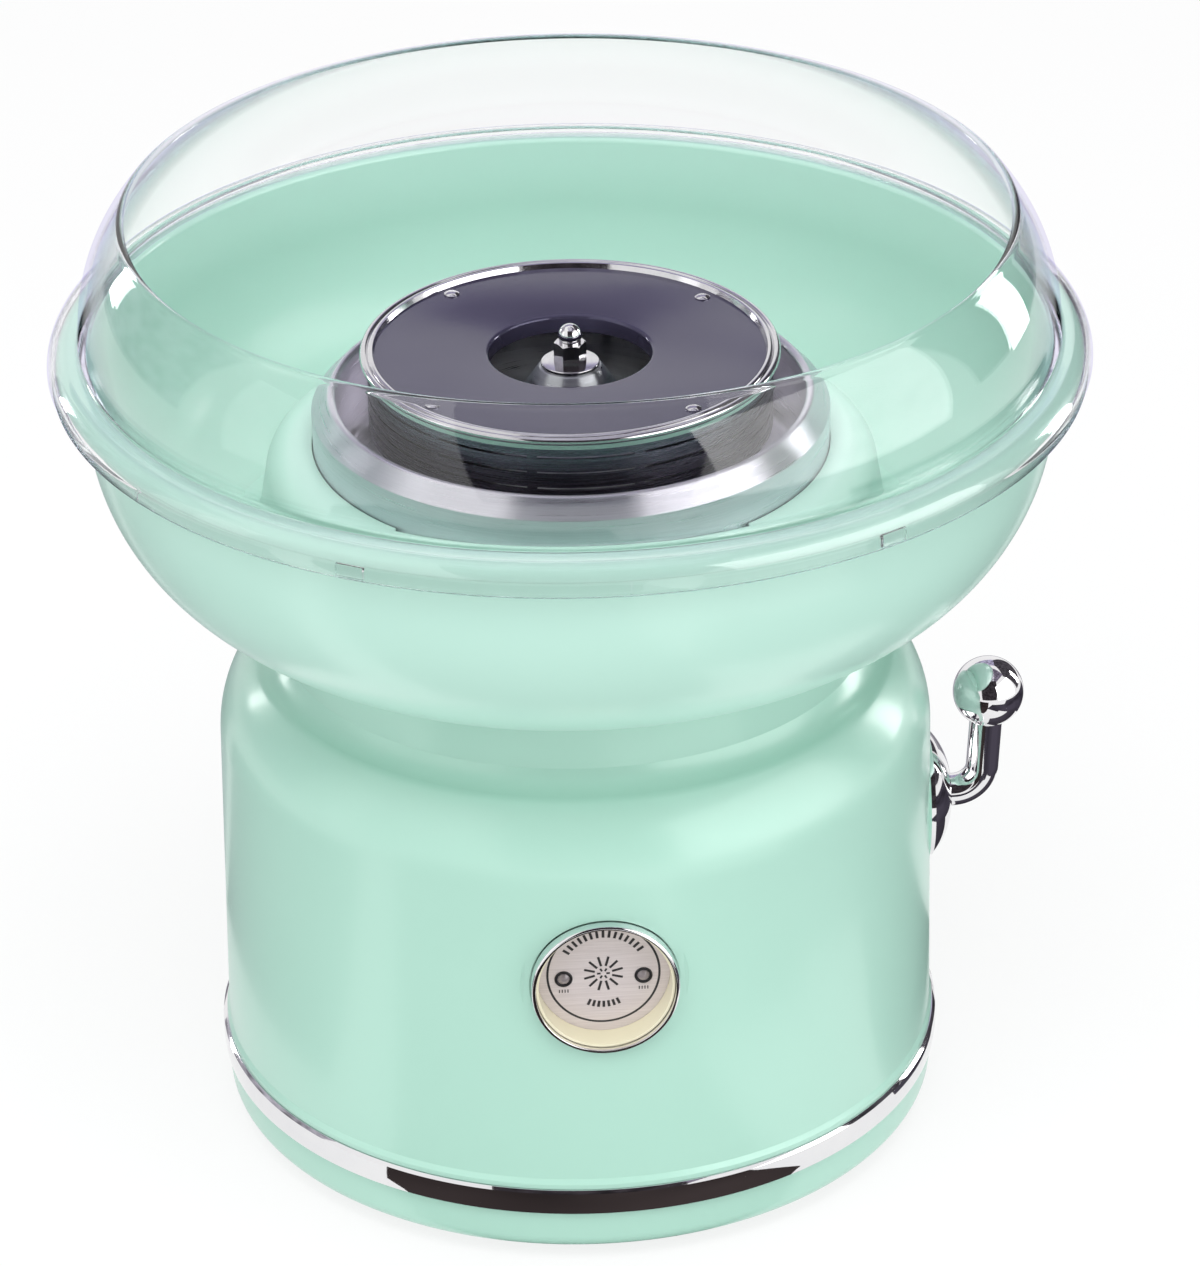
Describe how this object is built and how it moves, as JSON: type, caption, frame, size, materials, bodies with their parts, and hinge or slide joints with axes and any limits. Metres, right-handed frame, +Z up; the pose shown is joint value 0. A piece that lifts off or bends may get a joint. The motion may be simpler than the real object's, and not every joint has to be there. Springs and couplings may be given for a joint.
{
  "type": "cotton candy machine",
  "caption": "Round table-top cotton candy maker: mint housing with chrome band and side switch lever, lift-off bowl with clear guard, and a spinning heated sugar head.",
  "frame": {"origin": "on the floor under the machine's own axis", "axes": "+Z up along the spinning head's axis, -Y towards the badge, +X towards the switch lever"},
  "size_m": [0.2938, 0.2938, 0.2823],
  "materials": {
    "mint": "gloss",
    "chrome": "mirror",
    "clear": "clear gloss",
    "rubber": "matt",
    "tray_metal": "brushed",
    "head_metal": "polished",
    "cover_black": "gloss enamel",
    "steel": "turned",
    "bright_screw": "plated",
    "badge_face": "satin",
    "ivory": "satin",
    "lamp_lens": "smoked",
    "lamp_black": "satin",
    "board": "solder mask",
    "switch_plastic": "moulded",
    "ceramic": "bisque",
    "element": "oxidised",
    "magnet": "sintered",
    "rotor": "laminated",
    "bronze": "sintered",
    "fan_plastic": "moulded"
  },
  "bodies": {
    "base": {"body_shell": "mint", "base_pan": "mint", "trim_band": "chrome", "rubber_feet": "rubber", "base_screws": "bright_screw", "cord_gland": "rubber", "badge_bezel": "chrome", "badge_liner": "ivory", "badge_plate": "badge_face", "lamp_rims": "lamp_black", "ready_lamp": "lamp_lens", "start_lamp": "lamp_lens", "lamp_board": "board", "lever_escutcheon": "chrome", "rotary_switch": "switch_plastic", "heater_tray": "tray_metal", "tray_screws": "bright_screw", "heater_element": "element", "element_stands": "ceramic", "thermostat": "steel", "thermal_fuse": "steel", "motor_plate": "steel", "motor_mounts": "rubber", "motor_screws": "bright_screw", "motor_can": "steel", "motor_end_cap": "switch_plastic", "motor_magnets": "magnet", "motor_bushes": "bronze", "terminal_block": "switch_plastic"},
    "head": {"head_pan": "steel", "head_band": "head_metal", "head_rim": "tray_metal", "head_cover": "cover_black", "cover_rivets": "bright_screw", "head_washer": "bright_screw", "head_nut": "bright_screw", "shaft_cap": "bright_screw", "drive_collar": "steel", "drive_shaft": "steel", "motor_rotor": "rotor", "cooling_fan": "fan_plastic"},
    "bowl": {"bowl": "mint"},
    "guard": {"guard": "clear"},
    "lever": {"lever_arm": "chrome", "lever_ball": "chrome", "switch_spindle": "steel"}
  },
  "joints": [
    {"name": "head_spin", "type": "hinge", "parent": "base", "child": "head", "pos_m": [0, 0, 0.2], "axis": [0, 0, 1], "continuous": true},
    {"name": "lever_turn", "type": "hinge", "parent": "base", "child": "lever", "pos_m": [0.1, 0, 0.08875], "axis": [1, 0, 0], "range_deg": [0, 90]},
    {"name": "bowl_lift", "type": "slide", "parent": "base", "child": "bowl", "axis": [0, 0, 1], "range_m": [0, 0.12]},
    {"name": "guard_lift", "type": "slide", "parent": "bowl", "child": "guard", "axis": [0, 0, 1], "range_m": [0, 0.06]}
  ]
}
